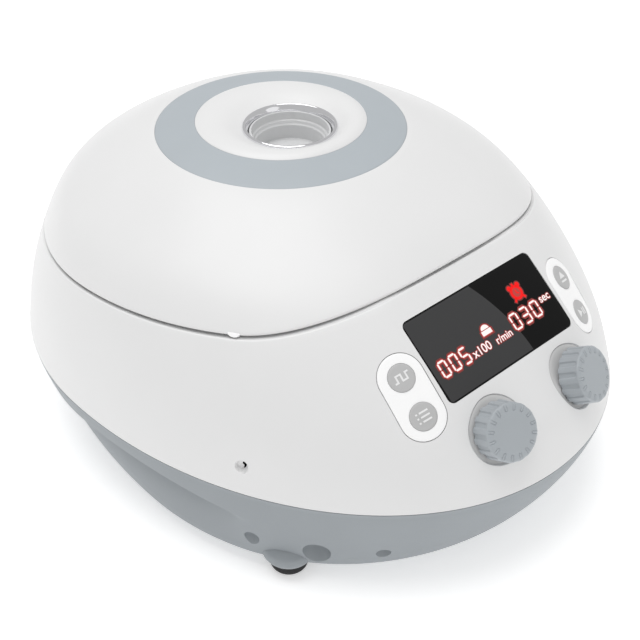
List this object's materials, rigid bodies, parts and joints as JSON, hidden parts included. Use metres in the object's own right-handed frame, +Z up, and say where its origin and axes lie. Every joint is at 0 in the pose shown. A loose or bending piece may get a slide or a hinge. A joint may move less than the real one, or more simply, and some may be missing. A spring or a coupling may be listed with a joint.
{
  "type": "laboratory centrifuge",
  "caption": "Egg-shaped bench-top laboratory centrifuge with a domed hinged lid and window, a sloping panel with display, knobs and buttons, and an angle rotor.",
  "frame": {"origin": "on the table, under the middle of the bounding box", "axes": "+X to the machine's right, +Y towards its back, away from the control panel, +Z up"},
  "size_m": [0.2644, 0.3118, 0.1476],
  "materials": {
    "white_plastic": "satin moulded, very fine grain",
    "grey_plastic": "fine matt grain",
    "ring_grey": "fine matt grain",
    "knob_grey": "satin",
    "button_grey": "matt",
    "black_gloss": "polished",
    "black_plastic": "matt",
    "rubber": "matt",
    "silicone": "matt",
    "clear": "clear, polished",
    "chrome": "polished",
    "steel": "brushed",
    "aluminium": "machined and anodised",
    "circuit_board": "solder mask"
  },
  "bodies": {
    "base": {"base_shell": "grey_plastic", "button_plate_left": "white_plastic", "button_plate_right": "white_plastic", "chamber_bowl": "steel", "chamber_gasket": "silicone", "control_board": "circuit_board", "display_module": "black_plastic", "display_window": "black_gloss", "encoder_left": "black_plastic", "encoder_right": "black_plastic", "foot_1": "rubber", "foot_2": "rubber", "foot_3": "rubber", "foot_4": "rubber", "hinge_bracket_left": "grey_plastic", "hinge_bracket_right": "grey_plastic", "hinge_pin_left": "steel", "hinge_pin_right": "steel", "housing_screw_1": "steel", "housing_screw_2": "steel", "latch_guide": "steel", "latch_solenoid": "black_plastic", "motor_cable": "rubber", "motor_can": "steel", "motor_damper_1": "rubber", "motor_damper_2": "rubber", "motor_damper_3": "rubber", "motor_mount_plate": "aluminium", "power_inlet": "black_plastic", "power_supply": "steel", "rear_panel": "grey_plastic", "shaft_bearing_lower": "steel", "shaft_bearing_upper": "steel", "switch_frame": "black_plastic", "upper_housing": "white_plastic"},
    "lid": {"lid_shell": "white_plastic", "lid_ring": "ring_grey", "window_bezel": "chrome", "window_cup": "clear", "lid_liner": "white_plastic", "lid_striker": "steel", "lid_hinge_arm_left": "white_plastic", "lid_hinge_arm_right": "white_plastic"},
    "rotor": {"rotor": "aluminium", "rotor_nut": "aluminium", "drive_shaft": "steel", "motor_rotor": "steel"},
    "speed_knob": {"speed_knob": "knob_grey", "encoder_shaft_left": "aluminium"},
    "time_knob": {"time_knob": "knob_grey", "encoder_shaft_right": "aluminium"},
    "pulse_button": {"pulse_button": "button_grey"},
    "program_button": {"program_button": "button_grey"},
    "door_button": {"door_button": "button_grey"},
    "run_button": {"run_button": "button_grey"},
    "power_rocker": {"power_rocker": "black_plastic"},
    "latch_bolt": {"latch_bolt": "steel"}
  },
  "joints": [
    {"name": "lid_hinge", "type": "hinge", "parent": "base", "child": "lid", "pos_m": [0, 0.1436, 0.098], "axis": [-1, 0, 0], "range_deg": [0, 75]},
    {"name": "rotor_spin", "type": "hinge", "parent": "base", "child": "rotor", "pos_m": [0, 0.0185, 0.06], "axis": [0, 0, 1], "continuous": true},
    {"name": "speed_knob_turn", "type": "hinge", "parent": "base", "child": "speed_knob", "pos_m": [-0.0253, -0.1389, 0.0751], "axis": [-0.1803, -0.8215, 0.541], "continuous": true},
    {"name": "time_knob_turn", "type": "hinge", "parent": "base", "child": "time_knob", "pos_m": [0.0253, -0.1389, 0.0751], "axis": [0.1803, -0.8215, 0.541], "continuous": true},
    {"name": "pulse_button_press", "type": "slide", "parent": "base", "child": "pulse_button", "axis": [0.354, 0.641, -0.681], "range_m": [0, 0.0005], "stiffness_N_per_m": 400},
    {"name": "program_button_press", "type": "slide", "parent": "base", "child": "program_button", "axis": [0.354, 0.641, -0.681], "range_m": [0, 0.0005], "stiffness_N_per_m": 400},
    {"name": "door_button_press", "type": "slide", "parent": "base", "child": "door_button", "axis": [-0.354, 0.641, -0.681], "range_m": [0, 0.0005], "stiffness_N_per_m": 400},
    {"name": "run_button_press", "type": "slide", "parent": "base", "child": "run_button", "axis": [-0.354, 0.641, -0.681], "range_m": [0, 0.0005], "stiffness_N_per_m": 400},
    {"name": "power_rocker_tilt", "type": "hinge", "parent": "base", "child": "power_rocker", "pos_m": [0.017, 0.1385, 0.069], "axis": [1, 0, 0], "range_deg": [-12, 0]},
    {"name": "latch_bolt_slide", "type": "slide", "parent": "base", "child": "latch_bolt", "axis": [1, 0, 0], "range_m": [0, 0.005], "stiffness_N_per_m": 60}
  ]
}
